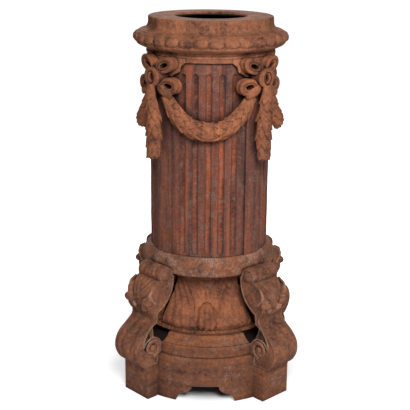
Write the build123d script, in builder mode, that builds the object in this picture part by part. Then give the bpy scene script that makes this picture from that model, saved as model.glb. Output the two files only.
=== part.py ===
from build123d import *
import os
from math import asin, cos, degrees, pi, radians, sin, sqrt

# Fluted cast iron column, put together from hollow castings.
# Millimetres, +Z up, origin on the floor at the middle of the base, front towards -Y.

os.makedirs("parts", exist_ok=True)

# Fits
clearance = 0.3

# Plinth: a drum that stands on a foot at each corner
plinth_wall = 12
foot_reach = 279
foot_width = 100
foot_height = 97
band_radius = 246
band_height = 103
torus_height = 26
torus_radius = 242
torus_chamfer = 7
drum_radius = 231
drum_height = 29
shoulder_height = 26
shoulder_radius = 203
shoulder_hollow = 9
plinth_bore = 150
arch_height = 49
arch_head_width = 73
arch_ear_width = 146
arch_ear_height = 22
arch_foot_width = 166
arch_lean = 0.2
arch_steps = 4

# Vase: a ribbed bell, slit behind each console
base_ring_radius = 192
base_ring_height = 10
belly_radius = 189
belly_rise = 24
neck_radius = 130
neck_rise = 140
bell_skew = 0.85
bell_steps = 5
bell_tuck = 4
rib_count = 24
rib_swell = 2
vase_height = 166
vase_bead_radius = 134
vase_wall = 10
vase_sill = 8
vase_bore = 116
slit_width = 28
slit_head_rise = 148
pocket_width = 99
pocket_reach = 170
pocket_sill = 2

# Collar: the ring that takes the foot of the shaft
collar_radius = 190.5
collar_height = 54
collar_side_height = 28
collar_chamfer = 6
collar_mouth_radius = 175
collar_bulge = 6
collar_slope = 14
collar_bore = 118
collar_floor = 10
collar_inner_radius = 156
shaft_seat = 20

# Shaft: a tube with four fluted panels between four flat strips
shaft_radius = 168
shaft_length = 566
shaft_wall = 14
strip_width = 54.4
strip_rise = 6
flute_width = 19
flute_depth = 6.5
flute_pitch = 12.3
flute_facets = 10
flute_tip_share = 0.8
flutes_per_panel = 5
flute_foot_margin = 5
flute_head_margin = 38

# Capital: frieze, beaded rim, flared top and an open top plate
capital_socket = 9
capital_height = 109
capital_wall = 11
frieze_radius = 179
frieze_height = 22
soffit_reach = 207
soffit_rise = 16
rim_radius = 210.5
rim_chamfer = 8
rim_height = 17
rim_head_radius = 199
flare_radius = 173
flare_height = 15
flare_step = 10
flare_hollow = 5.5
plate_thickness = 9
opening_radius = 99
bead_count = 32
bead_sides = 6
bead_width = 29
bead_height = 25
bead_proud = 4
bead_head_width = 19
bead_head_height = 15
corbel_width = 150
corbel_waist = 124
corbel_chamfer = 12
corbel_depth = 37
corbel_foot_width = 80
corbel_radius = 181

# Consoles: scrolled brackets that stand on the feet
console_width = 96
volute_radius = 60
volute_reach = 318
volute_height = 150
eye_radius = 33
eye_tip_angle = 18
waist_reach = 253
waist_height = 229
waist_radius = 10
bulge_reach = 271
bulge_height = 290
scroll_radius = 24
scroll_reach = 228
scroll_height = 354
arm_back_reach = 192
arm_back_height = 290
heel_reach = 241
heel_height = 222
heel_lean = 3
heel_rise = 28
bay_radius = 45
cheek_wall = 10
front_wall = 12
curl_steps = 7
waist_steps = 4

# Garlands: a ribbon bow and a leaf drop over each strip
ribbon_depth = 25
ribbon_taper = 4
knot_width = 44
knot_foot = 878
knot_rise = 48
knot_depth = 41
knot_hollow_width = 26
knot_hollow_height = 14
upper_loop_offset = 32
upper_loop_height = 936
upper_loop_length = 60
upper_loop_width = 40
upper_loop_tilt = 22
lower_loop_offset = 46
lower_loop_height = 880
lower_loop_length = 56
lower_loop_width = 44
slot_share = 0.5
loop_sides = 8
slot_sides = 4
drop_foot = 680
drop_tiers = 6
drop_sides = 6
drop_neck_width = 28
drop_width = 54
drop_front = 225
drop_neck_back = 206.5
drop_back = 182
drop_bend_height = 812
drop_belly_share = 0.8
drop_taper = 0.7
drop_overrun = 6

# Swags: leaf festoons between the garlands
swag_low = 763.5
swag_radius = 189
swag_end_radius = 192
swag_width = 56
swag_end_width = 48
swag_depth = 35
swag_end_depth = 26
swag_end_angle = 36.3
swag_overrun = 5
swag_power = 2.45
swag_tiers = 7
swag_sides = 6
leaf_pinch = 0.82
leaf_step = 2

# Levels of the stack
torus_top = band_height + torus_height
drum_top = torus_top + drum_height
plinth_top = drum_top + shoulder_height
belly_height = plinth_top + belly_rise
neck_height = plinth_top + neck_rise
vase_top = plinth_top + vase_height
collar_top = vase_top + collar_height
shaft_foot = collar_top - shaft_seat
shaft_top = shaft_foot + shaft_length
capital_foot = shaft_top - capital_socket
capital_top = capital_foot + capital_height
socket_radius = shaft_radius + clearance

side_turns = {"front": -90, "right": 0, "rear": 90, "left": 180}
corner_turns = {"front_right": -45, "rear_right": 45, "rear_left": 135, "front_left": 225}


# Upright plane square to the radius at an angle from +X: its X runs along the tangent, its Y up
def tangent_plane(angle, radius):
    direction = Vector(1, 0, 0).rotate(Axis.Z, angle)
    return Plane(origin=direction * radius, x_dir=Vector(0, 1, 0).rotate(Axis.Z, angle), z_dir=direction)


# Oval with flat sides, drawn about the origin, with one side down
def oval_points(sides, length, width):
    turns = [2 * pi * (side + 0.5) / sides for side in range(sides)]
    flat = cos(pi / sides)
    return [(length / 2 / flat * sin(turn), -width / 2 / flat * cos(turn)) for turn in turns]


# Even points along a curve, to draw a round stretch in flats
def flats(curve, count):
    return [curve @ (step / count) for step in range(count + 1)]


# Plinth
torus_root = torus_radius - torus_chamfer

with BuildPart() as vase_pockets:
    with PolarLocations(pocket_reach, 4, start_angle=45):
        with Locations((0, 0, drum_top + pocket_sill)):
            Box(
                band_radius,
                pocket_width,
                shoulder_height + base_ring_height,
                align=(Align.MIN, Align.CENTER, Align.MIN),
            )

with BuildPart() as plinth:
    with BuildSketch(Plane.XZ):
        with BuildLine():
            Polyline(
                (0, 0),
                (band_radius, 0),
                (band_radius, band_height),
                (torus_radius, band_height + torus_chamfer),
                (torus_radius, torus_top - torus_chamfer),
                (torus_root, torus_top),
                (drum_radius, torus_top),
                (drum_radius, drum_top),
            )
            Polyline(
                (drum_radius, drum_top),
                (shoulder_radius + shoulder_hollow, plinth_top - shoulder_height / 2),
                (shoulder_radius, plinth_top),
                (0, plinth_top),
                (0, 0),
            )
        make_face()
    revolve(axis=Axis.Z)
    with PolarLocations(0, 4, start_angle=45):
        Box(foot_reach, foot_width, foot_height, align=(Align.MIN, Align.CENTER, Align.MIN))
    with BuildSketch(Plane.XZ):
        with BuildLine():
            Polyline(
                (0, 0),
                (drum_radius - plinth_wall, 0),
                (drum_radius - plinth_wall, drum_top - plinth_wall),
                (0, drum_top - plinth_wall),
                (0, 0),
            )
        make_face()
    revolve(axis=Axis.Z, mode=Mode.SUBTRACT)
    with PolarLocations(0, 4, start_angle=45):
        Box(
            foot_reach - plinth_wall,
            foot_width - 2 * plinth_wall,
            foot_height - plinth_wall,
            align=(Align.MIN, Align.CENTER, Align.MIN),
            mode=Mode.SUBTRACT,
        )
    with Locations((0, 0, plinth_top)):
        Hole(plinth_bore)
    add(vase_pockets.part, mode=Mode.SUBTRACT)
    for turn in (0, 90):
        with BuildSketch(tangent_plane(turn, 0)):
            with BuildLine():
                ear = (arch_ear_width / 2, arch_ear_height)
                head = (arch_head_width / 2, arch_height)
                bend = Spline(ear, head, tangents=[(-1, arch_lean), (-arch_lean, 1)], mode=Mode.PRIVATE)
                Polyline((0, 0), (arch_foot_width / 2, 0), *flats(bend, arch_steps), (0, arch_height))
                mirror(about=Plane.YZ)
            make_face()
        extrude(amount=foot_reach, both=True, mode=Mode.SUBTRACT)
plinth.part.label = "plinth"
export_step(plinth.part, "parts/plinth.step")


# Vase
def bell_radius(height):
    share = (height - belly_height) / (neck_height - belly_height)
    return neck_radius + (belly_radius - neck_radius) * (1 + cos(pi * share**bell_skew)) / 2


def ribbed_ring(radius):
    ridge = radius + rib_swell
    hollow = ridge * (belly_radius - rib_swell) / (belly_radius + rib_swell)
    turns = [180 * step / rib_count for step in range(2 * rib_count)]
    reaches = [ridge, hollow] * rib_count
    points = [Vector(reach, 0).rotate(Axis.Z, turn) for reach, turn in zip(reaches, turns)]
    Polygon(*points, align=None)


bell_step = (neck_height - belly_height) / bell_steps
bell_levels = [belly_height + bell_step * step for step in range(bell_steps + 1)]

with BuildPart() as vase:
    with BuildSketch(Plane.XY.offset(plinth_top)):
        ribbed_ring(belly_radius - bell_tuck)
    for level in bell_levels:
        with BuildSketch(Plane.XY.offset(level)):
            ribbed_ring(bell_radius(level))
    loft(ruled=True)
    with BuildSketch(Plane.XY.offset(plinth_top)):
        Circle(base_ring_radius)
    extrude(amount=base_ring_height)
    with BuildSketch(Plane.XY.offset(neck_height)):
        Circle(vase_bead_radius)
    extrude(amount=vase_top - neck_height)
    with BuildSketch(Plane.XZ):
        with BuildLine():
            Polyline(
                (0, plinth_top),
                (plinth_bore, plinth_top),
                (plinth_bore, plinth_top + vase_sill),
                (belly_radius - 2 * vase_wall, belly_height),
                (vase_bore, neck_height),
                (vase_bore, vase_top),
                (0, vase_top),
                (0, plinth_top),
            )
        make_face()
    revolve(axis=Axis.Z, mode=Mode.SUBTRACT)
    with PolarLocations(0, 4, start_angle=45):
        with Locations((0, 0, plinth_top + base_ring_height)):
            Box(
                base_ring_radius,
                slit_width,
                slit_head_rise - base_ring_height,
                align=(Align.MIN, Align.CENTER, Align.MIN),
                mode=Mode.SUBTRACT,
            )
    add(vase_pockets.part, mode=Mode.SUBTRACT)
vase.part.label = "vase"
export_step(vase.part, "parts/vase.step")


# Collar
with BuildPart() as collar:
    with BuildSketch(Plane.XZ):
        with BuildLine():
            side_top = vase_top + collar_side_height
            Polyline(
                (collar_bore, vase_top),
                (collar_radius - collar_chamfer, vase_top),
                (collar_radius, vase_top + collar_chamfer),
                (collar_radius, side_top),
            )
            Polyline(
                (collar_radius, side_top),
                (collar_radius - collar_bulge, side_top + collar_slope),
                (collar_mouth_radius, collar_top),
                (socket_radius, collar_top),
                (socket_radius, shaft_foot),
                (collar_inner_radius, shaft_foot),
                (collar_bore, vase_top + collar_floor),
                (collar_bore, vase_top),
            )
        make_face()
    revolve(axis=Axis.Z)
collar.part.label = "collar"
export_step(collar.part, "parts/collar.step")


# Shaft
flute_chord_radius = sqrt(shaft_radius**2 - (flute_width / 2) ** 2)
flute_radius = ((flute_width / 2) ** 2 + flute_depth**2) / (2 * flute_depth)
flute_centre = flute_chord_radius - flute_depth + flute_radius
flute_tip = flute_tip_share * flute_radius
flute_tip_radius = flute_radius * sqrt(1 - flute_tip_share**2)
flute_foot = collar_top + flute_foot_margin + flute_radius
flute_head = shaft_top - flute_head_margin - flute_radius
panel_span = flute_pitch * (flutes_per_panel - 1)

with BuildPart() as flute:
    for level, radius in (
        (flute_foot - flute_tip, flute_tip_radius),
        (flute_foot, flute_radius),
        (flute_head, flute_radius),
        (flute_head + flute_tip, flute_tip_radius),
    ):
        with BuildSketch(Plane.XY.offset(level)):
            RegularPolygon(radius, flute_facets)
    loft(ruled=True)

with BuildPart() as shaft:
    with BuildSketch(Plane.XY.offset(collar_top)):
        Rectangle(2 * foot_reach, strip_width, rotation=45)
        Rectangle(2 * foot_reach, strip_width, rotation=-45)
        Circle(shaft_radius + strip_rise, mode=Mode.INTERSECT)
    extrude(amount=capital_foot - collar_top)
    with Locations((0, 0, shaft_foot)):
        Cylinder(shaft_radius, shaft_length, align=(Align.CENTER, Align.CENTER, Align.MIN))
        Cylinder(
            shaft_radius - shaft_wall,
            shaft_length,
            align=(Align.CENTER, Align.CENTER, Align.MIN),
            mode=Mode.SUBTRACT,
        )
    for turn in side_turns.values():
        with PolarLocations(flute_centre, flutes_per_panel, turn - panel_span / 2, panel_span, endpoint=True):
            add(flute.part, mode=Mode.SUBTRACT)
shaft.part.label = "shaft"
export_step(shaft.part, "parts/shaft.step")


# Capital
frieze_top = capital_foot + frieze_height
rim_foot = frieze_top + soffit_rise
rim_side = rim_foot + rim_chamfer
rim_top = rim_side + rim_height
rim_head = rim_top + rim_chamfer
flare_top = rim_head + flare_height
rim_middle = (rim_side + rim_top) / 2
corbel_inner_radius = shaft_radius + strip_rise + clearance

with BuildPart() as bead:
    with BuildSketch(tangent_plane(0, rim_radius - rim_chamfer)):
        Polygon(*oval_points(bead_sides, bead_width, bead_height), align=None)
    with BuildSketch(tangent_plane(0, rim_radius + bead_proud)):
        Polygon(*oval_points(bead_sides, bead_head_width, bead_head_height), align=None)
    loft(ruled=True)

with BuildPart() as capital:
    with BuildSketch(Plane.XZ):
        with BuildLine():
            Polyline(
                (socket_radius, capital_foot),
                (frieze_radius, capital_foot),
                (frieze_radius, frieze_top),
                (soffit_reach, rim_foot),
                (rim_radius, rim_side),
                (rim_radius, rim_top),
                (rim_head_radius, rim_head),
                (flare_radius + flare_step, rim_head + flare_hollow),
                (flare_radius, flare_top),
                (flare_radius, capital_top),
                (opening_radius, capital_top),
                (opening_radius, capital_top - plate_thickness),
                (flare_radius - capital_wall, capital_top - plate_thickness),
                (shaft_radius - capital_wall, shaft_top),
                (socket_radius, shaft_top),
                (socket_radius, capital_foot),
            )
        make_face()
    revolve(axis=Axis.Z)
    with Locations((0, 0, rim_middle)):
        with PolarLocations(0, bead_count):
            add(bead.part)
with BuildPart() as corbels:
    for turn in corner_turns.values():
        with BuildSketch(tangent_plane(turn, 0)):
            with BuildLine():
                corbel_foot = capital_foot - corbel_depth
                Polyline(
                    (0, capital_foot + corbel_chamfer),
                    (corbel_width / 2, capital_foot + corbel_chamfer),
                    (corbel_width / 2, capital_foot),
                    (corbel_waist / 2, capital_foot - corbel_chamfer),
                    (corbel_waist / 2, capital_foot - 2 * corbel_chamfer),
                    (corbel_foot_width / 2, corbel_foot),
                    (0, corbel_foot),
                )
                mirror(about=Plane.YZ)
            make_face()
        extrude(amount=corbel_radius + clearance)
    with BuildSketch():
        Circle(corbel_radius)
        Circle(corbel_inner_radius, mode=Mode.SUBTRACT)
    extrude(amount=capital_top, mode=Mode.INTERSECT)
with BuildPart() as whole_capital:
    add(capital.part)
    add(corbels.part)
whole_capital.part.label = "capital"
export_step(whole_capital.part, "parts/capital.step")


# Consoles
eye_reach = volute_reach - volute_radius
volute_foot_reach = sqrt(volute_radius**2 - (volute_height - foot_height) ** 2)
scroll_centre = scroll_reach - scroll_radius
console_foot = (eye_reach + volute_foot_reach, foot_height)
console_back = drum_radius - foot_height / 2
volute_side = (volute_reach, volute_height)
shoulder = (eye_reach + volute_radius / 2, volute_height + volute_radius * sqrt(3) / 2)
waist_foot = (waist_reach + waist_radius, waist_height - waist_radius)
waist_head = (waist_reach + waist_radius / 2, waist_height + 2 * waist_radius)
notch = (scroll_reach, scroll_height - scroll_radius / 2)
scroll_head = (scroll_centre, scroll_height + scroll_radius)
scroll_back = (scroll_centre - scroll_radius, scroll_height)
heel = (heel_reach, heel_height)
heel_head = (heel_reach - heel_lean, heel_height + heel_rise)
bay_side = (eye_reach + bay_radius / 2, volute_height + bay_radius * sqrt(3) / 2)
eye_turn = radians(eye_tip_angle)
eye_tip = (eye_reach + eye_radius * cos(eye_turn), volute_height + eye_radius * sin(eye_turn))
eye_top = (eye_reach, volute_height + eye_radius)
eye_back = (eye_reach - eye_radius, volute_height)

with BuildPart() as console:
    with BuildSketch(Plane.XZ):
        with BuildLine():
            volute = ThreePointArc(console_foot, volute_side, shoulder, mode=Mode.PRIVATE)
            waist = ThreePointArc(waist_foot, (waist_reach, waist_height), waist_head, mode=Mode.PRIVATE)
            bulge = ThreePointArc(waist_head, (bulge_reach, bulge_height), notch, mode=Mode.PRIVATE)
            scroll = ThreePointArc(notch, scroll_head, scroll_back, mode=Mode.PRIVATE)
            back = ThreePointArc(scroll_back, (arm_back_reach, arm_back_height), heel_head, mode=Mode.PRIVATE)
            bay = ThreePointArc(heel, bay_side, eye_tip, mode=Mode.PRIVATE)
            eye = ThreePointArc(eye_tip, eye_top, eye_back, mode=Mode.PRIVATE)
            Polyline(
                (console_back, foot_height),
                *flats(volute, curl_steps),
                *flats(waist, waist_steps),
                *flats(bulge, curl_steps)[1:],
                *flats(scroll, curl_steps)[1:],
                *flats(back, waist_steps)[1:],
                *flats(bay, waist_steps),
                *flats(eye, curl_steps)[1:],
                (console_back, volute_height),
                close=True,
            )
        make_face()
    extrude(amount=console_width / 2, both=True)
    with BuildSketch(Plane.XZ):
        with BuildLine():
            pocket_top = scroll_height - scroll_radius
            Polyline(
                (heel_reach, heel_height),
                (bulge_reach - front_wall, bulge_height),
                (scroll_reach, pocket_top),
                (collar_bore, pocket_top),
                (collar_bore, heel_height),
                close=True,
            )
        make_face()
    extrude(amount=console_width / 2 - cheek_wall, both=True, mode=Mode.SUBTRACT)
    for radius, top in (
        (band_radius, band_height + torus_chamfer),
        (torus_radius, torus_top),
        (drum_radius, volute_height + eye_radius),
    ):
        with BuildSketch(Plane.XY.offset(foot_height)):
            Circle(radius + clearance)
        extrude(amount=top + clearance - foot_height, mode=Mode.SUBTRACT)
    with BuildSketch(Plane.XY.offset(vase_top)):
        Circle(collar_radius + clearance)
    extrude(amount=collar_height, mode=Mode.SUBTRACT)
for place, turn in corner_turns.items():
    placed = console.part.rotate(Axis.Z, turn)
    placed.label = f"console_{place}"
    export_step(placed, f"parts/console_{place}.step")


# Swags
swag_top = lower_loop_height - lower_loop_width / 2
step_angle = degrees(leaf_step / swag_radius)


def swag_point(angle):
    share = abs(angle) / swag_end_angle
    radius = swag_radius + (swag_end_radius - swag_radius) * share**2
    height = swag_low + (swag_top - swag_low) * share**swag_power
    return Vector(radius, 0, height).rotate(Axis.Z, angle)


def swag_ring(angle, size):
    share = min(abs(angle) / swag_end_angle, 1)
    width = swag_width + (swag_end_width - swag_width) * share**2
    depth = swag_depth + (swag_end_depth - swag_depth) * share**2
    along = swag_point(angle + step_angle) - swag_point(angle - step_angle)
    outward = Vector(1, 0, 0).rotate(Axis.Z, angle)
    with BuildSketch(Plane(origin=swag_point(angle), x_dir=outward, z_dir=along)) as ring:
        Polygon(*oval_points(swag_sides, depth * size, width * size), align=None)
    return ring.sketch


swag_reach = swag_end_angle + swag_overrun
tier_angle = swag_reach / swag_tiers

swag_rings = [swag_ring(0, 1)]
for tier in range(1, swag_tiers + 1):
    swag_rings.append(swag_ring(tier * tier_angle - step_angle, leaf_pinch))
    swag_rings.append(swag_ring(tier * tier_angle, 1))

with BuildPart() as half_swag:
    loft(swag_rings, ruled=True)
    split(bisect_by=Plane.XY.offset(swag_top), keep=Keep.BOTTOM)
with BuildPart() as swag:
    add(half_swag.part)
    mirror(about=Plane.XZ)
for side, turn in side_turns.items():
    placed = swag.part.rotate(Axis.Z, turn)
    placed.label = f"swag_{side}"
    export_step(placed, f"parts/swag_{side}.step")


# Garlands
bow_back = corbel_radius + clearance
bow_front = bow_back + ribbon_depth


# Ribbon loop that lies against the cylinder behind the bow, open in its middle
def ribbon_loop(offset, height, length, width, tilt):
    angle = degrees(asin(offset / (bow_back + ribbon_depth / 2)))
    with BuildPart() as loop:
        for depth, trim in ((0, 0), (ribbon_depth, ribbon_taper)):
            with BuildSketch(tangent_plane(angle, bow_back + depth)):
                with Locations(Location((0, height), tilt)):
                    Polygon(*oval_points(loop_sides, length - 2 * trim, width - 2 * trim), align=None)
        loft(ruled=True)
        with BuildSketch(tangent_plane(angle, bow_back)):
            with Locations(Location((0, height), tilt)):
                Polygon(*oval_points(slot_sides, length * slot_share, width * slot_share), align=None)
        extrude(amount=ribbon_depth, mode=Mode.SUBTRACT)
    return loop.part


upper_loop = ribbon_loop(
    upper_loop_offset, upper_loop_height, upper_loop_length, upper_loop_width, upper_loop_tilt
)
lower_loop = ribbon_loop(lower_loop_offset, lower_loop_height, lower_loop_length, lower_loop_width, 0)


def drop_ring(height, size):
    share = (knot_foot - height) / (knot_foot - drop_foot)
    width = drop_neck_width + (drop_width - drop_neck_width) * sin(pi / 2 * min(share / drop_belly_share, 1))
    taper = 1 - drop_taper * max(share - drop_belly_share, 0) / (1 - drop_belly_share)
    back = drop_neck_back if height > drop_bend_height else drop_back
    depth = (drop_front - back) * (1 - (1 - taper) / 2)
    with BuildSketch(Plane.XY.offset(height)) as ring:
        with Locations(((back + drop_front) / 2, 0)):
            Polygon(*oval_points(drop_sides, depth * size, width * size * taper), align=None)
    return ring.sketch


tier_height = (knot_foot - drop_foot) / drop_tiers
drop_rings = [drop_ring(knot_foot + drop_overrun, leaf_pinch)]
for tier in range(drop_tiers):
    tier_foot = knot_foot - (tier + 1) * tier_height
    drop_rings.append(drop_ring(tier_foot + leaf_step, 1))
    drop_rings.append(drop_ring(tier_foot, leaf_pinch))

with BuildPart() as drop:
    loft(drop_rings, ruled=True)

with BuildPart() as garland:
    add(upper_loop)
    add(lower_loop)
    mirror(about=Plane.XZ)
    for depth, trim in ((0, 0), (ribbon_depth, 0), (knot_depth, ribbon_taper)):
        with BuildSketch(tangent_plane(0, bow_back + depth)):
            with Locations((0, knot_foot + knot_rise / 2)):
                Polygon(*oval_points(loop_sides, knot_width - 2 * trim, knot_rise - 2 * trim), align=None)
    loft(ruled=True)
    with BuildSketch(tangent_plane(0, bow_front)):
        with Locations((0, knot_foot + knot_rise / 2)):
            Polygon(*oval_points(drop_sides, knot_hollow_width, knot_hollow_height), align=None)
    extrude(amount=knot_depth, mode=Mode.SUBTRACT)
    add(drop.part)
for place, turn in corner_turns.items():
    placed = garland.part.rotate(Axis.Z, turn)
    placed.label = f"garland_{place}"
    export_step(placed, f"parts/garland_{place}.step")
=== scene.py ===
from cmath import phase
from math import asin, cos, pi, radians, sin, sqrt

import bpy
import numpy as np
from mathutils import Matrix, Vector


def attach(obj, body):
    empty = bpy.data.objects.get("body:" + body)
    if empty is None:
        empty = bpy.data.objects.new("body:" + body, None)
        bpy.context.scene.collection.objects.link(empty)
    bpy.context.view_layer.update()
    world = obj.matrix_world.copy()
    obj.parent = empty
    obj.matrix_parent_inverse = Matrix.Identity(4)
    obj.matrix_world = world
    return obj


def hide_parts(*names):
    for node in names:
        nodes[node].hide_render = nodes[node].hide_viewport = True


# Rusty fluted cast iron column. Sizes are in millimetres until a mesh is made, then metres.

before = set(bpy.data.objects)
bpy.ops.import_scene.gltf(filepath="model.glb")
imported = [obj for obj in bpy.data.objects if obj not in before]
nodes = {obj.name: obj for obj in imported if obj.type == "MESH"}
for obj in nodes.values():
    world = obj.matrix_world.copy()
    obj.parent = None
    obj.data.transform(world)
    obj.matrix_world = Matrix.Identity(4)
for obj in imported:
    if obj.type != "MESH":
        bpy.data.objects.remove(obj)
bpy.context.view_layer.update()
mm = 0.001
scene = bpy.context.scene
sides = {"front": -90, "right": 0, "rear": 90, "left": 180}
corners = {"front_right": -45, "rear_right": 45, "rear_left": 135, "front_left": 225}
print("frame loaded:", len(nodes), "nodes")


# Camera fitted to the photograph: azimuth in degrees, the other angles in radians
view = dict(azimuth=1.2, distance=2639.5, height=1298.6, pitch=0.2917, yaw=0.0044, roll=0.0094, lens=83.37)


def aimCamera(v):
    pitch, yaw, roll = v["pitch"], v["yaw"], v["roll"]
    across = Vector((cos(yaw), sin(yaw), 0))
    level = Vector((-sin(yaw), cos(yaw), 0))
    ahead = cos(pitch) * level - sin(pitch) * Vector((0, 0, 1))
    up = sin(pitch) * level + cos(pitch) * Vector((0, 0, 1))
    right = cos(roll) * across + sin(roll) * up
    top = cos(roll) * up - sin(roll) * across
    axes = Matrix((right, top, -ahead)).transposed().to_4x4()
    place = Matrix.Translation((0, -v["distance"] * mm, v["height"] * mm))
    data = bpy.data.cameras.new("camera")
    data.lens = v["lens"]
    data.sensor_width = 36
    camera = bpy.data.objects.new("camera", data)
    camera.matrix_world = Matrix.Rotation(radians(v["azimuth"]), 4, "Z") @ place @ axes
    scene.collection.objects.link(camera)
    scene.camera = camera


def areaLamp(name, lamp):
    data = bpy.data.lights.new(name, "AREA")
    data.shape = "DISK"
    data.size = lamp["size"]
    data.energy = lamp["watts"]
    place, target = Vector(lamp["place"]), Vector((0, 0, lamp["aim"]))
    holder = bpy.data.objects.new(name, data)
    holder.location = place
    holder.rotation_euler = (target - place).to_track_quat("-Z", "Y").to_euler()
    scene.collection.objects.link(holder)


aimCamera(view)
scene.view_settings.view_transform = "Standard"

# Places and sizes of the lamps in metres; aim is the height they look at
studio = dict(
    sky=0.12,
    lamps=dict(
        key=dict(place=(0.5, -2.5, 2.3), aim=0.7, size=1.2, watts=84),
        fill=dict(place=(2.8, -2.0, 1.6), aim=0.6, size=2.4, watts=6),
        rear=dict(place=(-0.3, 2.6, 2.2), aim=0.7, size=1.6, watts=55),
    ),
)
for name, lamp in studio["lamps"].items():
    areaLamp(name, lamp)

print("camera and lamps placed:", len(studio["lamps"]), "lamps")


# An empty node group, given the kinds of its sockets by name, with its input and output node
def newGroup(name, inputs, outputs):
    tree = bpy.data.node_groups.new(name, "ShaderNodeTree")
    for way, sockets in (("INPUT", inputs), ("OUTPUT", outputs)):
        for label, kind in sockets.items():
            tree.interface.new_socket(label, in_out=way, socket_type="NodeSocket" + kind)
    return tree, tree.nodes.new("NodeGroupInput").outputs, tree.nodes.new("NodeGroupOutput").inputs


def addNode(tree, kind, **values):
    node = tree.nodes.new("ShaderNode" + kind)
    for key, value in values.items():
        setattr(node, key, value)
    return node


# The node tree of whichever value is a socket
def treeOf(*values):
    return next(value.id_data for value in values if hasattr(value, "id_data"))


# Numbers and colours are set on the socket, and outputs of other nodes are linked to it
def feed(value, socket):
    if isinstance(value, (int, float)):
        socket.default_value = value
    elif isinstance(value, tuple):
        socket.default_value = value if socket.type == "VECTOR" else (*value, 1)
    else:
        socket.id_data.links.new(value, socket)


def feedAll(values, sockets):
    for label, value in values.items():
        feed(value, sockets[label])


def useGroup(tree, group, values):
    node = addNode(tree, "Group", node_tree=group)
    feedAll(values, node.inputs)
    return node.outputs


def mathNode(operation, first, second, clamp=False):
    node = addNode(treeOf(first, second), "Math", operation=operation, use_clamp=clamp)
    feedAll({0: first, 1: second}, node.inputs)
    return node.outputs[0]


def times(first, second):
    return mathNode("MULTIPLY", first, second)


def plus(first, second):
    return mathNode("ADD", first, second)


def minus(first, second):
    return mathNode("SUBTRACT", first, second)


def squeezed(vector, factors):
    node = addNode(vector.id_data, "VectorMath", operation="MULTIPLY")
    feedAll({0: vector, 1: factors}, node.inputs)
    return node.outputs["Vector"]


def lengthOf(vector):
    node = addNode(vector.id_data, "VectorMath", operation="LENGTH")
    feed(vector, node.inputs[0])
    return node.outputs["Value"]


def noiseNode(vector, scale, detail, rough, distortion=0.0):
    node = addNode(vector.id_data, "TexNoise")
    feedAll({"Vector": vector, "Scale": scale, "Detail": detail}, node.inputs)
    feedAll({"Roughness": rough, "Distortion": distortion}, node.inputs)
    return node.outputs["Fac"]


def ramp(value, low, high):
    node = addNode(value.id_data, "MapRange", interpolation_type="SMOOTHSTEP")
    feedAll({"Value": value, "From Min": low, "From Max": high}, node.inputs)
    return node.outputs["Result"]


# The mix node's colour sockets are number 6 and 7, and its result is number 2
def mixColour(factor, first, second, blend="MIX"):
    node = addNode(treeOf(factor, first, second), "Mix", data_type="RGBA", blend_type=blend)
    feedAll({0: factor, 6: first, 7: second}, node.inputs)
    return node.outputs[2]


def newMaterial(name):
    material = bpy.data.materials.new(name)
    material.use_nodes = True
    material.node_tree.nodes.clear()
    return material, material.node_tree


# A weak sky lights the column, and the camera sees plain white
world = bpy.data.worlds.new("studio")
scene.world = world
world.use_nodes = True
sky = world.node_tree
sky.nodes.clear()
skyMix = addNode(sky, "MixShader")
feed(addNode(sky, "LightPath").outputs["Is Camera Ray"], skyMix.inputs["Fac"])
for index, strength in ((1, studio["sky"]), (2, 1.0)):
    skyGlow = addNode(sky, "Background")
    feedAll({"Color": (1, 1, 1), "Strength": strength}, skyGlow.inputs)
    feed(skyGlow.outputs[0], skyMix.inputs[index])
feed(skyMix.outputs[0], addNode(sky, "OutputWorld").inputs["Surface"])

# Scales are per metre, or times the patch scale; pairs are where a mask begins and where it is full
rustLook = dict(
    speckTimes=7.0, streakTimes=2.2, wornTimes=1.7, fleckScale=300.0, mottleScale=420.0, patchyScale=120.0,
    blotchShare=0.65, streakShare=0.7, bloom=(0.48, 0.60), darkScale=(0.49, 0.38), flecks=(0.42, 0.6),
    wornLimit=0.72, wornGain=0.4, wornFade=0.12, mottle=1.1, patchy=1.3, darker=0.22, shadeShare=0.8,
)


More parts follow.
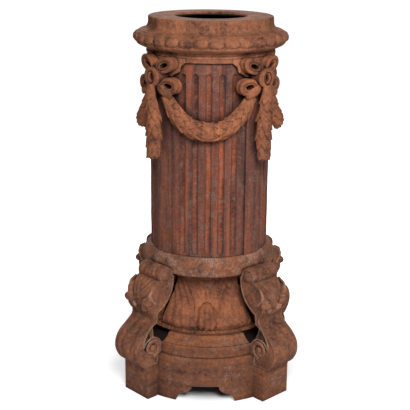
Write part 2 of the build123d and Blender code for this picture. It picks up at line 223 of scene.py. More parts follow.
# Rust in blotches and streaks: brown ground, orange bloom, dark scale and grey worn skin
def makeRustGroup(r):
    tree, ins, out = newGroup(
        "rustBlotches",
        {
            "Position": "Vector", "Flow": "Vector", "Patch": "Float", "Streak": "Float",
            "Grey Share": "Float", "Dark": "Color", "Main": "Color", "Bright": "Color", "Grey": "Color",
        },
        {"Color": "Color"},
    )
    spot, patch = ins["Position"], ins["Patch"]
    drawnOut = squeezed(spot, ins["Flow"])
    blotch = noiseNode(spot, patch, 8, 0.65, 0.4)
    speck = noiseNode(spot, times(patch, r["speckTimes"]), 4, 0.7)
    streak = noiseNode(drawnOut, times(patch, r["streakTimes"]), 5, 0.6)
    streaked = addNode(tree, "Mix", data_type="FLOAT")
    feed(ins["Streak"], streaked.inputs[0])
    for index, main, share in ((2, blotch, r["blotchShare"]), (3, streak, r["streakShare"])):
        mixed = plus(times(main, share), times(speck, 1 - share))
        feed(mixed, streaked.inputs[index])
    value = streaked.outputs[0]
    colour = mixColour(ramp(value, *r["bloom"]), ins["Main"], ins["Bright"])
    colour = mixColour(ramp(value, *r["darkScale"]), colour, ins["Dark"])
    worn = noiseNode(spot, times(patch, r["wornTimes"]), 7, 0.72, 0.2)
    edge = minus(r["wornLimit"], times(ins["Grey Share"], r["wornGain"]))
    wornMask = ramp(worn, edge, plus(edge, r["wornFade"]))
    flecks = ramp(noiseNode(spot, r["fleckScale"], 3, 0.7), *r["flecks"])
    colour = mixColour(times(wornMask, flecks), colour, ins["Grey"])
    mottle = times(noiseNode(spot, r["mottleScale"], 3, 0.6), r["mottle"])
    patchy = times(noiseNode(spot, r["patchyScale"], 5, 0.75), r["patchy"])
    shade = minus(plus(mottle, patchy), r["darker"])
    grey = addNode(tree, "CombineColor")
    for channel in range(3):
        feed(shade, grey.inputs[channel])
    colour = mixColour(r["shadeShare"], colour, grey.outputs[0], "MULTIPLY")
    feed(colour, out["Color"])
    return tree


grainLook = dict(
    coarseScale=60.0, fineScale=450.0, pitScale=260.0, coarse=1.6, fine=0.55, pits=0.18, pitEdge=(0.1, 0.4),
    distance=0.0022,
)


# Pitted, sandy casting skin
def makeGrainGroup(g):
    inputs = {"Position": "Vector", "Normal": "Vector", "Depth": "Float"}
    tree, ins, out = newGroup("castGrain", inputs, {"Normal": "Vector"})
    coarse = noiseNode(ins["Position"], g["coarseScale"], 6, 0.6)
    fine = noiseNode(ins["Position"], g["fineScale"], 4, 0.65)
    pits = addNode(tree, "TexVoronoi", feature="F1")
    feedAll({"Vector": ins["Position"], "Scale": g["pitScale"]}, pits.inputs)
    pit = ramp(pits.outputs["Distance"], *g["pitEdge"])
    height = plus(times(coarse, g["coarse"]), times(fine, g["fine"]))
    height = plus(height, times(pit, g["pits"]))
    bump = addNode(tree, "Bump")
    feedAll({"Distance": g["distance"], "Strength": ins["Depth"]}, bump.inputs)
    feedAll({"Height": height, "Normal": ins["Normal"]}, bump.inputs)
    feed(bump.outputs[0], out["Normal"])
    return tree


creviceLook = dict(
    samples=6, hollow=(0.85, 0.3), ridge=(0.55, 0.25), patchScale=70.0, patch=(0.42, 0.62), breakUp=0.5,
)


# Masks for crevices, which get painted shade with some soot, and for worn edges
def makeCreviceGroup(c):
    inputs, outputs = {"Reach": "Float", "Edge Reach": "Float"}, {"Crevice": "Float", "Edge": "Float"}
    tree, ins, out = newGroup("creviceAndEdge", inputs, outputs)
    place = addNode(tree, "NewGeometry")
    hollow = addNode(tree, "AmbientOcclusion", samples=c["samples"])
    feed(ins["Reach"], hollow.inputs["Distance"])
    ridge = addNode(tree, "AmbientOcclusion", samples=c["samples"], inside=True)
    feed(ins["Edge Reach"], ridge.inputs["Distance"])
    edge = ramp(ridge.outputs["AO"], *c["ridge"])
    patch = ramp(noiseNode(place.outputs["Position"], c["patchScale"], 6, 0.7), *c["patch"])
    kept = minus(1.0, times(minus(1.0, patch), c["breakUp"]))  # worn edges come and go
    feed(ramp(hollow.outputs["AO"], *c["hollow"]), out["Crevice"])
    feed(times(edge, kept), out["Edge"])
    return tree


# Distance from the column's axis, as a mask from low to high radius
def makeRadiusGroup():
    inputs = {"Position": "Vector", "Low": "Float", "High": "Float"}
    tree, ins, out = newGroup("radiusMask", inputs, {"Mask": "Float"})
    feed(ramp(lengthOf(squeezed(ins["Position"], (1, 1, 0))), ins["Low"], ins["High"]), out["Mask"])
    return tree


rustGroup = makeRustGroup(rustLook)
grainGroup = makeGrainGroup(grainLook)
creviceGroup = makeCreviceGroup(creviceLook)
radiusGroup = makeRadiusGroup()
print("node groups made:", len(bpy.data.node_groups))

# Streaks run down a standing piece and round a turned one
upright, around = (1, 1, 0.07), (0.1, 0.1, 1)
# soot is the near-black used for painted shade with some soot in crevices, and for painted shade inside the
# hollows
brown = dict(
    dark=(0.075, 0.032, 0.022), main=(0.215, 0.074, 0.038), bright=(0.37, 0.122, 0.048),
    grey=(0.30, 0.17, 0.12), patch=16, streak=0.25, flow=upright, greyShare=0.3,
    sootAndShade=(0.018, 0.009, 0.008), sootAndShadeShare=0.85, reach=0.016, wear=(0.52, 0.31, 0.21), wearShare=0.5,
    edgeReach=0.005, depth=0.7, rough=0.88, ridge=None, hollow=None,
)
# hollow says where painted shade covers the inside wall of a hollow piece
finishes = {
    "plinth": dict(
        brown, main=(0.19, 0.076, 0.043), bright=(0.34, 0.12, 0.05), patch=13, streak=0.65, flow=around,
        greyShare=0.5, wearShare=0.35, reach=0.045, hollow=(0.226, 0.1615),
    ),
    "vase": dict(
        brown, main=(0.235, 0.086, 0.046), bright=(0.39, 0.14, 0.065), sootAndShadeShare=0.9, reach=0.012,
        wearShare=0.25,
    ),
    "collar": dict(
        brown, main=(0.195, 0.087, 0.055), grey=(0.42, 0.26, 0.2), greyShare=0.62, wear=(0.66, 0.46, 0.35),
        wearShare=1.0, edgeReach=0.008,
    ),
    "shaft": dict(
        brown, dark=(0.06, 0.03, 0.027), main=(0.225, 0.071, 0.04), bright=(0.46, 0.118, 0.046),
        grey=(0.28, 0.165, 0.125), patch=21, streak=0.9, greyShare=0.6, wearShare=0.2,
        ridge=(0.1, 0.06, 0.055), depth=1.4, hollow=(0.158, 1.0), reach=0.03, sootAndShadeShare=1.0,
    ),
    "capital": dict(
        brown, main=(0.25, 0.097, 0.05), bright=(0.40, 0.15, 0.075), streak=0.4, wearShare=0.3,
        greyShare=0.35, hollow=(0.164, 1.0445),
    ),
    "console": dict(
        brown, main=(0.19, 0.078, 0.046), bright=(0.33, 0.128, 0.065), greyShare=0.45, wearShare=0.65,
        edgeReach=0.0055,
    ),
    "garland": dict(
        brown, main=(0.23, 0.083, 0.042), bright=(0.38, 0.13, 0.056), wearShare=0.04, greyShare=0.15,
        sootAndShadeShare=1.0, reach=0.018,
    ),
    "swag": dict(
        brown, main=(0.28, 0.098, 0.047), bright=(0.45, 0.155, 0.066), wearShare=0.04, greyShare=0.15,
        sootAndShadeShare=1.0, reach=0.016,
    ),
}


finishLook = dict(
    hollowFade=0.002, crest=(0.162, 0.168), crestMix=0.45, crestShare=0.7, wallShadeShare=1.3, wornSmoother=0.15,
    specular=0.22,
)


# Painted shade on the inside wall: nearer the axis than the first number and below the second, in metres
def paintedShadeInside(tree, position, colour, hollow, sootAndShade):
    near, top = hollow
    far = near + finishLook["hollowFade"]
    radius = useGroup(tree, radiusGroup, {"Position": position, "Low": near, "High": far})
    split = addNode(tree, "SeparateXYZ")
    feed(position, split.inputs[0])
    below = mathNode("LESS_THAN", split.outputs["Z"], top)
    return mixColour(times(minus(1.0, radius["Mask"]), below), colour, sootAndShade)


# Grey crests between the flutes, and painted shade on the walls of each flute
def fluteColoursAndShade(tree, position, colour, crestColour, dark):
    low, high = finishLook["crest"]
    crest = useGroup(tree, radiusGroup, {"Position": position, "Low": low, "High": high})["Mask"]
    crestMix = mixColour(finishLook["crestMix"], crestColour, colour)
    colour = mixColour(times(crest, finishLook["crestShare"]), colour, crestMix)
    # the flute walls are darkened as painted shade
    wall = times(crest, minus(1.0, crest))
    return mixColour(mathNode("MULTIPLY", wall, finishLook["wallShadeShare"], clamp=True), colour, dark)


# Colour, wear, soot with painted shade, and roughness of one slot
def makeFinish(name, look):
    material, tree = newMaterial(name)
    out = addNode(tree, "OutputMaterial")
    body = addNode(tree, "BsdfPrincipled")
    place = addNode(tree, "NewGeometry")
    position = place.outputs["Position"]
    rust = {"Position": position, "Patch": look["patch"], "Streak": look["streak"]}
    rust.update({"Grey Share": look["greyShare"], "Flow": look["flow"]})
    rust.update({label.title(): look[label] for label in ("dark", "main", "bright", "grey")})
    colour = useGroup(tree, rustGroup, rust)["Color"]
    if look["ridge"]:
        colour = fluteColoursAndShade(tree, position, colour, look["ridge"], look["dark"])
    if look["hollow"]:
        # painted shade on the inside wall of the hollow castings
        colour = paintedShadeInside(tree, position, colour, look["hollow"], look["sootAndShade"])
    marks = useGroup(tree, creviceGroup, {"Reach": look["reach"], "Edge Reach": look["edgeReach"]})
    # crevices get painted shade with some soot, from the ambient occlusion mask
    colour = mixColour(times(marks["Crevice"], look["sootAndShadeShare"]), colour, look["sootAndShade"])
    colour = mixColour(times(marks["Edge"], look["wearShare"]), colour, look["wear"])
    skin = {"Position": position, "Normal": place.outputs["Normal"], "Depth": look["depth"]}
    grain = useGroup(tree, grainGroup, skin)
    feed(colour, body.inputs["Base Color"])
    roughness = minus(look["rough"], times(marks["Edge"], finishLook["wornSmoother"]))
    feed(roughness, body.inputs["Roughness"])
    feed(grain["Normal"], body.inputs["Normal"])
    feed(finishLook["specular"], body.inputs["Specular IOR Level"])
    feed(body.outputs[0], out.inputs["Surface"])
    return material


materials = {name: makeFinish(name, look) for name, look in finishes.items()}
print("materials made:", len(materials))


# A part is a pair of points and faces
def joined(parts):
    points, faces, count = [], [], 0
    for verts, quads in parts:
        points.append(np.asarray(verts, float))
        faces += [tuple(index + count for index in quad) for quad in quads]
        count += len(verts)
    return np.concatenate(points), faces


def turned(part, degreesRound):
    verts, faces = part
    c, s = cos(radians(degreesRound)), sin(radians(degreesRound))
    return verts @ np.array([[c, s, 0], [-s, c, 0], [0, 0, 1]]), faces


def putPiece(name, part, slotName, cadNodes, sharpAngle=38):
    verts, faces = part
    mesh = bpy.data.meshes.new(name)
    mesh.from_pydata((verts * mm).tolist(), [], faces)
    mesh.validate()
    mesh.polygons.foreach_set("use_smooth", [True] * len(mesh.polygons))
    mesh.set_sharp_from_angle(angle=radians(sharpAngle))
    mesh.materials.append(materials[slotName])
    piece = bpy.data.objects.new(name, mesh)
    scene.collection.objects.link(piece)
    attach(piece, "root")
    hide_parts(*cadNodes)
    print(name, "faces:", len(mesh.polygons))


# The same part on each side or corner
def putRound(kind, part, turns, ending):
    for place, turn in turns.items():
        putPiece(f"{kind}_{place}_{ending}", turned(part, turn), kind, [f"{kind}_{place}"], 45)


# Two skins over the same grid, closed by walls at the ends and round each hole
def shellPart(outer, inner, wrap=True, hole=None):
    rows, cols = outer.shape[:2]
    cells = cols if wrap else cols - 1
    solid = np.ones((rows - 1, cells), bool) if hole is None else ~hole
    base = rows * cols
    faces = []
    for i in range(rows - 1):
        for j in range(cells):
            if not solid[i, j]:
                continue
            k = (j + 1) % cols
            a, b, c, d = i * cols + j, i * cols + k, (i + 1) * cols + k, (i + 1) * cols + j
            faces.append((a, b, c, d))
            faces.append((base + d, base + c, base + b, base + a))
            if i == 0 or not solid[i - 1, j]:
                faces.append((base + a, base + b, b, a))
            if i == rows - 2 or not solid[i + 1, j]:
                faces.append((d, c, base + c, base + d))
            if (not wrap and j == 0) or not solid[i, j - 1]:
                faces.append((a, d, base + d, base + a))
            if (not wrap and j == cells - 1) or not solid[i, (j + 1) % cells]:
                faces.append((c, b, base + b, base + c))
    return np.concatenate([outer.reshape(-1, 3), inner.reshape(-1, 3)]), faces


def polar(radius, angle, height):
    radius, angle, height = np.broadcast_arrays(radius, angle, height)
    return np.stack([radius * np.cos(angle), radius * np.sin(angle), height], axis=-1)


# Slow unevenness of a hand-made mould, the same each run
def lumps(points, size, seed, waves=20):
    dice = np.random.default_rng(seed)
    total = np.zeros(points.shape[:-1])
    for _ in range(waves):
        way = dice.normal(size=3)
        way *= 2 * pi / size * dice.uniform(0.5, 1.6) / np.linalg.norm(way)
        total += np.sin(points @ way + dice.uniform(0, 2 * pi))
    return total / sqrt(waves)


# Wide lumps with smaller ones on them
def twoLumps(points, wide, small, seed):
    return 0.6 * lumps(points, wide, seed) + 0.4 * lumps(points, small, seed + 1)


# Corners given as (radius, height, fillet), each fillet drawn in a few steps
def roundedProfile(corners3, steps, spacing):
    path = []
    count = len(corners3)
    for index, (x, z, fillet) in enumerate(corners3):
        here = np.array([x, z], float)
        if fillet == 0 or index in (0, count - 1):
            path.append(here)
            continue
        before = np.array(corners3[index - 1][:2], float) - here
        after = np.array(corners3[index + 1][:2], float) - here
        one, two = np.linalg.norm(before), np.linalg.norm(after)
        reach = min(fillet, one * 0.49, two * 0.49)
        start, end = here + before / one * reach, here + after / two * reach
        for step in range(steps + 1):
            t = step / steps
            path.append((1 - t) ** 2 * start + 2 * t * (1 - t) * here + t ** 2 * end)
    full = [path[0]]
    for last, point in zip(path, path[1:]):
        extra = int(np.linalg.norm(point - last) / spacing)
        full += [last + (point - last) * step / (extra + 1) for step in range(1, extra + 1)] + [point]
    return np.array(full)


# Distance along a line at each of its points
def lengthAlong(line):
    return np.concatenate([[0], np.cumsum(np.linalg.norm(np.diff(line, axis=0), axis=1))])


def unit(vectors):
    return vectors / np.linalg.norm(vectors, axis=1)[:, None]


# The same number of points along a second line, spread evenly
def resampled(line, count):
    line = np.array(line, float)
    length = lengthAlong(line)
    spots = np.linspace(0, length[-1], count)
    return np.stack([np.interp(spots, length, line[:, axis]) for axis in range(line.shape[1])], axis=-1)


def ringAngles(count):
    return np.linspace(0, 2 * pi, count, endpoint=False)


# Angle from the nearest of the four sides, in degrees
def sideAngle(angle):
    return (np.degrees(angle) + 45) % 90 - 45


# Angles of one side, in degrees from its middle, repeated for all four, in radians
def fourSides(quarter):
    quarter = np.unique(np.round(np.concatenate(quarter), 4))
    return np.radians(np.concatenate([quarter + turn for turn in sides.values()]))


def smooth(value, low, high):
    t = np.clip((value - low) / (high - low), 0, 1)
    return t * t * (3 - 2 * t)


# Rises over the first two values and falls over the last two
def fade(value, riseLow, riseHigh, fallLow, fallHigh):
    return smooth(value, riseLow, riseHigh) * smooth(-value, -fallHigh, -fallLow)


def bell(value, middle, spread):
    return np.exp(-((value - middle) / spread) ** 2)


# Bell-shaped ridges across a value, each given as (rise, middle, spread)
def ridges(value, rows):
    return sum(rise * bell(value, middle, spread) for rise, middle, spread in rows)


# Quads over a grid of points, which may close on itself either way
def gridFaces(rows, cols, rowsClose=False, colsClose=True):
    faces = []
    for i in range(rows if rowsClose else rows - 1):
        n = (i + 1) % rows
        for j in range(cols if colsClose else cols - 1):
            k = (j + 1) % cols
            faces.append((i * cols + j, i * cols + k, n * cols + k, n * cols + j))
    return faces


# Rings of points with a fan at each end, whose middles are the last two points
def closedRings(verts, rings, count):
    faces = gridFaces(rings, count)
    foot, head, last = len(verts) - 2, len(verts) - 1, (rings - 1) * count
    for j in range(count):
        k = (j + 1) % count
        faces += [(foot, k, j), (head, last + j, last + k)]
    return verts, faces


shaftLook = dict(
    radius=168, foot=384, head=950, wall=14, stripFoot=404.3, stripHead=940.7, stripWidth=54.4, stripRise=6,
    fluteWidth=19, fluteDepth=6.5, pitch=12.3, perSide=5, fluteFoot=409, fluteHead=912, unevenness=0.35,
    crests=(0.36, 0.43, 0.57, 0.64), step=0.12,
)


def buildShaft(s):
    half = np.degrees(asin(s["fluteWidth"] / 2 / s["radius"]))
    strip = 45 - np.degrees(asin(s["stripWidth"] / 2 / (s["radius"] + s["stripRise"])))
    centres = s["pitch"] * (np.arange(s["perSide"]) - (s["perSide"] - 1) / 2)
    quarter = [centre + half * np.sin(np.linspace(-pi / 2, pi / 2, 13)) for centre in centres]
    quarter += [centres[:-1] + s["pitch"] * share for share in s["crests"]]
    beside = np.linspace(centres[-1] + half, strip, 6)[1:-1]
    onTop = np.linspace(strip, 45, 7)[1:]
    quarter += [beside, [strip - s["step"], strip], onTop]
    quarter += [-beside, [-strip + s["step"], -strip], -onTop[:-1]]
    angle = fourSides(quarter)
    r = s["fluteWidth"] / 2
    bend = (1 - np.cos(np.linspace(0, pi / 2, 9))) * r
    heights = np.concatenate([
        [s["foot"], s["stripFoot"] - 0.3, s["stripFoot"], s["stripFoot"] + 2], s["fluteFoot"] + bend,
        np.linspace(s["fluteFoot"] + r, s["fluteHead"] - r, 34)[1:-1], s["fluteHead"] - bend[::-1],
        [s["fluteHead"] + 8, s["stripHead"] - 8, s["stripHead"], s["stripHead"] + 0.3, s["head"]],
    ])
    z, a = np.meshgrid(heights, angle, indexing="ij")
    local = sideAngle(a)
    outermost = s["perSide"] // 2
    nearest = np.clip(np.round(local / s["pitch"]), -outermost, outermost) * s["pitch"]
    across = s["radius"] * np.sin(np.radians(local - nearest))
    along = np.maximum(0, np.maximum(z - (s["fluteHead"] - r), (s["fluteFoot"] + r) - z))
    off = np.hypot(across, along)
    arc = (r ** 2 + s["fluteDepth"] ** 2) / (2 * s["fluteDepth"])
    depth = np.where(off < r, np.sqrt(np.maximum(arc ** 2 - off ** 2, 0)) - (arc - s["fluteDepth"]), 0)
    onStrip = (np.abs(local) >= strip - 0.01) & (z >= s["stripFoot"] - 0.01) & (z <= s["stripHead"] + 0.01)
    radius = s["radius"] - depth + np.where(onStrip, s["stripRise"], 0)
    points = polar(radius, a, z)
    free = fade(z, s["foot"] + 22, s["foot"] + 40, s["head"] - 40, s["head"] - 12)
    radius = radius + s["unevenness"] * free * twoLumps(points, 90, 22, 3)
    return shellPart(polar(radius, a, z), polar(s["radius"] - s["wall"], a, z))


putPiece("shaft_skin", buildShaft(shaftLook), "shaft", ["shaft"], 32)


# Outlines are corners given as (radius, height, fillet)
collarLook = dict(
    outer=[
        (118, 350, 0), (183, 350, 5), (190.5, 355, 5), (190.5, 375, 6), (187, 384, 4), (182.5, 393, 6),
        (176, 402, 4), (173, 404, 1.5), (168.3, 404, 0),
    ],
    inner=[(118, 360), (156, 384), (168.3, 384)], unevenness=0.7, count=288, steps=4, spacing=8, seed=11,
)


def buildRing(look, relief=None):
    count = look["count"]
    profile = roundedProfile(look["outer"], look["steps"], look["spacing"])
    lining = resampled(look["inner"], len(profile))
    radius, a = np.meshgrid(profile[:, 0], ringAngles(count), indexing="ij")
    z = np.repeat(profile[:, 1][:, None], count, axis=1)
    free = np.clip((radius - look["inner"][-1][0]) / 8, 0, 1)  # the seat stays true
    push = look["unevenness"] * free * (twoLumps(polar(radius, a, z), 70, 18, look["seed"]) - 0.8)
    if relief:
        push = push + relief(look, a, z, radius)
    inner = polar(*np.broadcast_arrays(lining[:, 0][:, None], a, lining[:, 1][:, None]))
    return shellPart(polar(radius + push, a, z), inner)


putPiece("collar_skin", buildRing(collarLook), "collar", ["collar"])


# Heights in millimetres; angles in degrees from the middle of a side; spans are limits for fade
vaseLook = dict(
    foot=184, ringTop=194, ringRadius=191.6, belly=208, bellyRadius=189, neck=324, neckRadius=130, skew=0.85,
    head=350, beadRadius=134, slitWidth=28, slitTop=332, notchPitch=3.6, notchDepth=3.2, fullest=196,
    ringFullest=192, unevenness=0.5, liningHeights=[184, 192, 208, 324, 350],
    liningRadii=[150, 150, 169, 116, 116],
    seamHeights=[196, 215, 235, 255, 275, 295, 312, 335],
    seamAngles=[11.5, 12, 13.2, 15.5, 19.5, 25.5, 30, 25],
    leafRise=2.4, veinRise=1.5, swellRise=5.0, lobeRise=2.0,
    ridgeRise=4.4, ridgeSpan=(198, 212, 296, 316), grooveDepth=4.0, grooveSpan=(200, 215, 292, 314),
    tongueHalf=7.4, tongueTop=264, tongueRise=3.4, ribRise=3.2, ribPitch=4.9, curlRise=4.0, curlHeight=254,
    edgeDepth=4.5, edgeSpan=(192, 200, 262, 272), sideRise=3.0, sideSpan=(198, 206, 250, 292),
    stalkRise=3.2, palmRise=3.2,
)


def bellRadius(z, v):
    share = np.clip((z - v["belly"]) / (v["neck"] - v["belly"]), 0, 1)
    bell = v["neckRadius"] + (v["bellyRadius"] - v["neckRadius"]) * (1 + np.cos(pi * share ** v["skew"])) / 2
    foot = v["bellyRadius"] - 4 * smooth(-z, -v["belly"], -v["ringTop"])
    return np.where(z < v["belly"], foot, bell)


# Leaf relief of one side, by angle from the side's middle in degrees and height
def vaseRelief(v, t, z):
    away = np.abs(t)
    seam = np.interp(z, v["seamHeights"], v["seamAngles"])
    leaf = smooth(away, seam - 0.4, seam + 1.6)
    vein = v["veinRise"] * np.cos((away - seam) * 0.8) * leaf * smooth(z, 200, 235)
    swell = v["swellRise"] * bell(away, 26, 8) * bell(z, 220, 14)
    lobes = v["lobeRise"] * np.abs(np.sin(away * 0.42)) * bell(z, 205, 10) * leaf
    ridge = v["ridgeRise"] * bell(away, seam, 1.0) * fade(z, *v["ridgeSpan"])
    groove = -v["grooveDepth"] * bell(away, seam - 2.4, 1.2) * fade(z, *v["grooveSpan"])
    # the tongue in the middle, narrowing to its curled tip
    half = v["tongueHalf"] * np.sqrt(np.clip((v["tongueTop"] - z) / 20, 0, 1)) * smooth(z, 190, 199)
    tongue = smooth(half - away, 0, 0.8)
    ribs = v["ribRise"] * np.cos(away * 2 * pi / v["ribPitch"]) * tongue
    curl = v["curlRise"] * bell(z, v["curlHeight"], 6) * smooth(6.8 - away, 0, 1.5)
    edge = -v["edgeDepth"] * bell(away, half + 0.9, 0.9) * fade(z, *v["edgeSpan"])
    # lines that spread towards the neck
    side = v["sideRise"] * bell(away, 9.9 + 0.05 * np.maximum(z - 230, 0), 1.0) * fade(z, *v["sideSpan"])
    stalk = v["stalkRise"] * bell(away, 0, 1.2 + 0.09 * np.maximum(z - 290, 0)) * smooth(z, 262, 272)
    palm = v["palmRise"] * bell(away, 4 + 0.16 * (z - 280), 1.4) * smooth(z, 268, 286)
    leaves = v["leafRise"] * leaf + vein + swell + lobes + ridge + groove
    return leaves + v["tongueRise"] * tongue + ribs + curl + edge + side + stalk + palm


def buildVase(v):
    slit = np.degrees(asin(v["slitWidth"] / 2 / v["bellyRadius"]))
    angle = fourSides([
        np.linspace(-45 + slit, 45 - slit, 118), np.linspace(-45, -45 + slit, 4),
        np.linspace(45 - slit, 45, 4)[:-1],
    ])
    heights = np.concatenate([
        [v["foot"], v["foot"] + 0.6], np.linspace(186, 193.4, 5), [v["ringTop"], v["ringTop"] + 0.4],
        np.linspace(v["ringTop"] + 1, v["neck"] - 1, 76), [v["neck"], v["neck"] + 0.5, v["neck"] + 4],
        [v["slitTop"], v["neck"] + 16, v["neck"] + 25, v["head"]],
    ])
    z, a = np.meshgrid(heights, angle, indexing="ij")
    t = sideAngle(a)
    onRing, onBead = z <= v["ringTop"] + 0.2, z >= v["neck"] + 0.4
    radius = bellRadius(z, v) + vaseRelief(v, t, z) * smooth(-z, -v["neck"], -v["neck"] + 14)
    notch = np.abs(((t / v["notchPitch"]) % 1) - 0.5)
    ring = v["ringRadius"] - v["notchDepth"] * smooth(notch, 0.28, 0.42) * smooth(z, 187, 190)
    radius = np.select([onRing, onBead], [ring, v["beadRadius"]], radius)
    radius = np.minimum(radius, np.where(onRing, v["ringFullest"], v["fullest"]))
    radius = radius + v["unevenness"] * lumps(polar(radius, a, z), 40, 21) * ~onBead
    lining = np.interp(z, v["liningHeights"], v["liningRadii"])
    corner = np.abs(t)[0]
    columnMiddle = (corner + np.roll(corner, -1)) / 2
    rowMiddle = (heights[1:] + heights[:-1]) / 2
    slitRows = (rowMiddle > v["ringTop"]) & (rowMiddle < v["slitTop"])
    inSlit = (columnMiddle > 45 - slit)[None, :] & slitRows[:, None]
    return shellPart(polar(radius, a, z), polar(lining, a, z), hole=inSlit)


putPiece("vase_skin", buildVase(vaseLook), "vase", ["vase"], 50)


capitalLook = dict(
    outer=[
        (168.3, 941, 0), (178, 941, 1.5), (178.6, 944, 1), (176.4, 946, 0.8), (176.6, 951, 0.8),
        (179, 953, 0.8), (179, 958, 0.8), (177, 960, 0.8), (178, 965, 1.5), (190, 969, 4), (203, 975, 4),
        (206, 979, 1.5), (206.5, 982, 1), (210.5, 988, 5), (210.5, 1003, 6), (205, 1008, 3), (203, 1009, 1),
        (200.5, 1009.5, 1), (199, 1012, 1.5), (187, 1015, 6), (178, 1020, 6), (173.5, 1028, 5),
        (173, 1048, 2.5), (170, 1050, 2), (103, 1050, 2.5), (99, 1046, 2), (99, 1041, 0),
    ],
    inner=[(168.3, 950), (157, 950), (162, 1041), (130, 1041), (99, 1041)],
    unevenness=0.5, count=320, steps=3, spacing=3.2, seed=31,
    eggs=32, eggHeight=994, eggHalf=12.5, eggWidth=35, eggProud=4.6, eggRadius=210, grooveDepth=4.0, lip=200,
    corbel=[(904, 38), (910, 46), (917, 60), (929, 62), (931, 63), (941, 75), (952, 75)],
    corbelOuter=181, corbelInner=174.3, corbelRim=1.5,
)


# A row of round beads along the lip, with a groove round each
def capitalRelief(c, a, z, radius):
    step = 2 * pi / c["eggs"]
    across = ((a / step) % 1 - 0.5) * step * c["eggRadius"]
    egg = 1 - (across / (c["eggWidth"] / 2)) ** 2 - ((z - c["eggHeight"]) / c["eggHalf"]) ** 2
    bulge = np.sqrt(np.clip(egg, 0, 1)) * c["eggProud"]
    nearRow = smooth(c["eggHalf"] + 1 - np.abs(z - c["eggHeight"]), 0, 5)
    return np.where(radius > c["lip"], bulge - c["grooveDepth"] * smooth(-egg, 0, 0.35) * nearRow, 0)


# Corner plate behind a bow: its outline gives the half width at each height
def buildCorbel(c):
    z, half = np.array(c["corbel"], float).T
    spots = np.linspace(z[0], z[-1], 22)
    t = np.linspace(-1, 1, 25)
    angle = np.arcsin(t[None, :] * np.interp(spots, z, half)[:, None] / c["corbelOuter"])
    heights = np.repeat(spots[:, None], len(t), axis=1)
    rim = smooth(np.abs(t)[None, :], 0.94, 1.0) * c["corbelRim"]
    outer, inner = polar(c["corbelOuter"] - rim, angle, heights), polar(c["corbelInner"], angle, heights)
    return shellPart(outer, inner, wrap=False)


corbel = buildCorbel(capitalLook)
capital = [buildRing(capitalLook, capitalRelief)] + [turned(corbel, turn) for turn in corners.values()]
putPiece("capital_skin", joined(capital), "capital", ["capital"], 42)


leafLook = dict(rows=7, cols=6, tipRise=(6.2, 8.8), footRise=0.4, crown=3.2, vein=2.2, sunk=5)


# What lies at one spot along a core
def coreAt(core, spot):
    found = []
    for key in ("middle", "out", "side", "depth", "breadth"):
        values = [np.interp(spot, core["spots"], column) for column in np.atleast_2d(core[key].T)]
        found.append(np.array(values) if len(values) > 1 else values[0])
    return found


# Turns of one tier's leaves round a core, each with a slight random sway
def tierTurns(look, tier, dice):
    for index in range(-3, 4):
        turn = (index + 0.5 * (tier % 2)) * radians(look["spacing"])
        turn += dice.uniform(-look["sway"], look["sway"])
        if abs(turn) <= radians(look["farthest"]):
            yield turn


# One laurel leaf wrapped on an oval core
def leafOn(core, start, length, width, angle, dice):
    look = leafLook
    u = np.linspace(0, 1, look["rows"] + 1)
    v = np.linspace(-1, 1, look["cols"] + 1)
    half = width / 2 * (1 - u ** 1.9) ** 0.8 * (0.7 + 0.3 * np.sin(pi * u))
    lift = dice.uniform(*look["tipRise"]) * u ** 1.2 + look["footRise"]
    crown = look["crown"] * (1 - v ** 2) - look["vein"] * bell(v, 0, 0.2)
    upper, lower = [], []
    for i, share in enumerate(u):
        middle, out, side, depth, breadth = coreAt(core, start + length * share)
        turn = angle + v * half[i] / ((depth + breadth) / 2)
        for skin, rise in ((upper, lift[i] + crown * (1 - 0.5 * share)), (lower, -look["sunk"])):
            outwards = np.outer(np.cos(turn) * (depth + rise), out)
            skin.append(middle + outwards + np.outer(np.sin(turn) * (breadth + rise), side))
    skins = np.array([upper, lower])
    return shellPart(*(skins[:, :, ::-1] if length < 0 else skins), wrap=False)


def tubePart(centres, outs, sidesOf, depths, breadths, count=20):
    turn = ringAngles(count)
    rings = [
        centre + np.outer(np.cos(turn) * depth, out) + np.outer(np.sin(turn) * breadth, side)
        for centre, out, side, depth, breadth in zip(centres, outs, sidesOf, depths, breadths)
    ]
    return closedRings(np.concatenate(rings + [[centres[0]], [centres[-1]]]), len(centres), count)


def ballPart(centre, radius, rings=6, count=10):
    x, y, z = centre
    lat = np.linspace(-pi / 2, pi / 2, rings + 1)[1:-1]
    verts = [
        [x + radius * cos(p) * cos(t), y + radius * cos(p) * sin(t), z + radius * sin(p)]
        for p in lat for t in ringAngles(count)
    ]
    return closedRings(np.array(verts + [[x, y, z - radius], [x, y, z + radius]]), len(lat), count)


def eggPart(centre, halves):
    verts, faces = ballPart(np.zeros(3), 1.0, 9, 16)
    return verts * np.array(halves, float) + np.array(centre, float), faces


swagLook = dict(
    low=763.5, radius=189, endRadius=192, top=858, endAngle=36.3, power=2.45, width=56, endWidth=48, depth=35,
    endDepth=26, pitch=25, length=50, leafWidth=23.5, coreShare=0.64, reach=41, spacing=54, farthest=108,
    sway=0.05, lengthSpread=(0.9, 1.08), berries=5, berryRadius=5.5, berrySpacing=38, berryProud=2,
    wallRadius=174.6,
)


